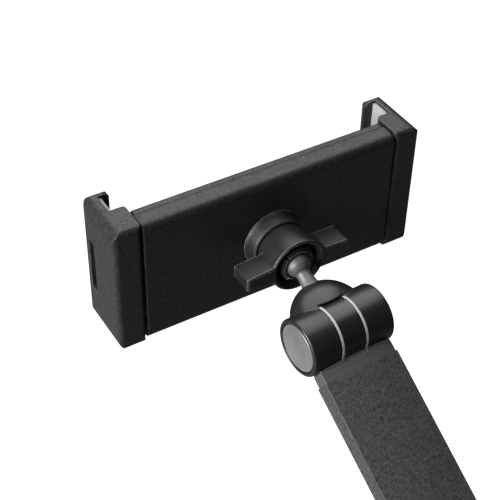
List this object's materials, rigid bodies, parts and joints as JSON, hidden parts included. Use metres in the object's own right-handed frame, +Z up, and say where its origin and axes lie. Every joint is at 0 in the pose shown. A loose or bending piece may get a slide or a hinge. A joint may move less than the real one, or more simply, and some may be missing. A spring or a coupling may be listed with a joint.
{
  "type": "desk-clamp tablet stand",
  "caption": "Spring-jaw tablet holder on a lockable ball joint, with two flat folding arms, barrel hinges, a swivel and a screw clamp for a desk edge.",
  "frame": {"origin": "on the desk top, on the axis of the clamp's swivel: the underside of the clamp's top pad", "axes": "+Z up from the desk, along the swivel's axis; +Y towards the person who looks at the tablet, square to the holder's back; +X along the holder from its left jaw to its right one, seen from behind"},
  "size_m": [0.1419, 0.2326, 0.4575],
  "materials": {
    "clamp_coat": "satin black coat on die-cast alloy",
    "arm_coat": "fine-grained charcoal coat on aluminium extrusion",
    "cap_plastic": "matte charcoal moulded plastic",
    "shell_plastic": "fine-grained matte black plastic",
    "knob_plastic": "satin black plastic",
    "black_rubber": "black soft rubber",
    "grey_rubber": "light grey soft rubber",
    "screw_steel": "bright zinc-plated steel",
    "dark_steel": "polished gunmetal steel",
    "black_steel": "black oxide steel",
    "ring_nylon": "light grey nylon",
    "disc_alu": "satin silver-grey disc"
  },
  "bodies": {
    "clamp": {"clamp_body": "clamp_coat", "clamp_top_pad": "black_rubber"},
    "clamp_foot": {"clamp_foot": "screw_steel", "clamp_foot_pad": "black_rubber"},
    "clamp_screw": {"clamp_screw": "screw_steel", "clamp_knob": "knob_plastic"},
    "base": {"base_yoke": "clamp_coat", "swivel_washer": "ring_nylon", "swivel_bolt": "black_steel", "base_hinge_bolt": "black_steel", "base_hinge_nut": "black_steel", "base_hinge_rings": "ring_nylon", "base_end_disc_left": "disc_alu", "base_end_disc_right": "disc_alu"},
    "lower_arm": {"lower_arm": "arm_coat", "lower_arm_base_cap": "cap_plastic", "lower_arm_fork": "cap_plastic", "lower_arm_screws": "black_steel", "elbow_bolt": "black_steel", "elbow_nut": "black_steel", "elbow_rings": "ring_nylon", "elbow_end_disc_left": "disc_alu", "elbow_end_disc_right": "disc_alu"},
    "upper_arm": {"upper_arm": "arm_coat", "upper_arm_elbow_cap": "cap_plastic", "upper_arm_head_cap": "cap_plastic", "upper_arm_screws": "black_steel"},
    "head": {"head_yoke": "clamp_coat", "ball_stud": "dark_steel", "head_hinge_bolt": "black_steel", "head_hinge_nut": "black_steel", "head_hinge_rings": "ring_nylon", "head_end_disc_left": "disc_alu", "head_end_disc_right": "disc_alu"},
    "seat_inner": {"ball_seat_inner": "ring_nylon"},
    "seat_outer": {"ball_seat_outer": "ring_nylon"},
    "holder": {"rear_shell": "shell_plastic", "front_cover": "shell_plastic", "front_pad": "black_rubber", "cover_screws": "black_steel", "socket": "knob_plastic", "pinion_post": "black_steel", "spring_left": "screw_steel", "spring_right": "screw_steel"},
    "wing_nut": {"wing_nut": "knob_plastic"},
    "pinion": {"pinion": "ring_nylon"},
    "jaw_left": {"slide_left": "screw_steel", "jaw_left": "shell_plastic", "jaw_pad_left": "grey_rubber"},
    "jaw_right": {"slide_right": "screw_steel", "jaw_right": "shell_plastic", "jaw_pad_right": "grey_rubber"}
  },
  "joints": [
    {"name": "base_swivel", "type": "hinge", "parent": "clamp", "child": "base", "pos_m": [0, 0, 0.02], "axis": [0, 0, 1], "range_deg": [-180, 180]},
    {"name": "base_tilt", "type": "hinge", "parent": "base", "child": "lower_arm", "pos_m": [0, 0, 0.044], "axis": [0.9988, 0.0489, 0], "range_deg": [-80, 40]},
    {"name": "elbow_fold", "type": "hinge", "parent": "lower_arm", "child": "upper_arm", "pos_m": [0.00299, -0.06121, 0.20792], "axis": [-0.9988, -0.0489, 0], "range_deg": [-122, 58]},
    {"name": "head_tilt", "type": "hinge", "parent": "upper_arm", "child": "head", "pos_m": [-0.00413, 0.08454, 0.30451], "axis": [0.9988, 0.0489, 0], "range_deg": [-82, 98]},
    {"name": "ball_pan", "type": "hinge", "parent": "head", "child": "seat_inner", "pos_m": [-0.0055, 0.11244, 0.31795], "axis": [0, 0, 1], "range_deg": [-22, 22]},
    {"name": "ball_tilt", "type": "hinge", "parent": "seat_inner", "child": "seat_outer", "pos_m": [-0.0055, 0.11244, 0.31795], "axis": [1, 0, 0], "range_deg": [-9, 60]},
    {"name": "ball_roll", "type": "hinge", "parent": "seat_outer", "child": "holder", "pos_m": [-0.0055, 0.11244, 0.31795], "axis": [0, 1, 0], "range_deg": [-180, 180]},
    {"name": "wing_nut_turn", "type": "hinge", "parent": "holder", "child": "wing_nut", "pos_m": [-0.0055, 0.11244, 0.31795], "axis": [0, -1, 0], "range_deg": [0, 180]},
    {"name": "jaw_right_pull", "type": "slide", "parent": "holder", "child": "jaw_right", "axis": [1, 0, 0], "range_m": [0, 0.048], "stiffness_N_per_m": 150, "springref_m": -0.08, "deforming": ["spring_right"]},
    {"name": "jaw_left_pull", "type": "slide", "parent": "holder", "child": "jaw_left", "axis": [-1, 0, 0], "range_m": [0, 0.048], "deforming": ["spring_left"]},
    {"name": "pinion_turn", "type": "hinge", "parent": "holder", "child": "pinion", "pos_m": [-0.0055, 0.13754, 0.31795], "axis": [0, 1, 0], "range_deg": [-275.1, 0]},
    {"name": "clamp_screw_turn", "type": "hinge", "parent": "clamp_foot", "child": "clamp_screw", "pos_m": [0, 0, -0.08], "axis": [0, 0, 1], "range_deg": [-2031, 3760]},
    {"name": "clamp_foot_slide", "type": "slide", "parent": "clamp", "child": "clamp_foot", "axis": [0, 0, 1], "range_m": [-0.0141, 0.0261]}
  ],
  "couplings": [
    {"joint": "jaw_left_pull", "follows": "jaw_right_pull", "ratio": 1},
    {"joint": "pinion_turn", "follows": "jaw_right_pull", "rad_per_m": -100},
    {"joint": "clamp_screw_turn", "follows": "clamp_foot_slide", "rad_per_m": 2513.3}
  ]
}
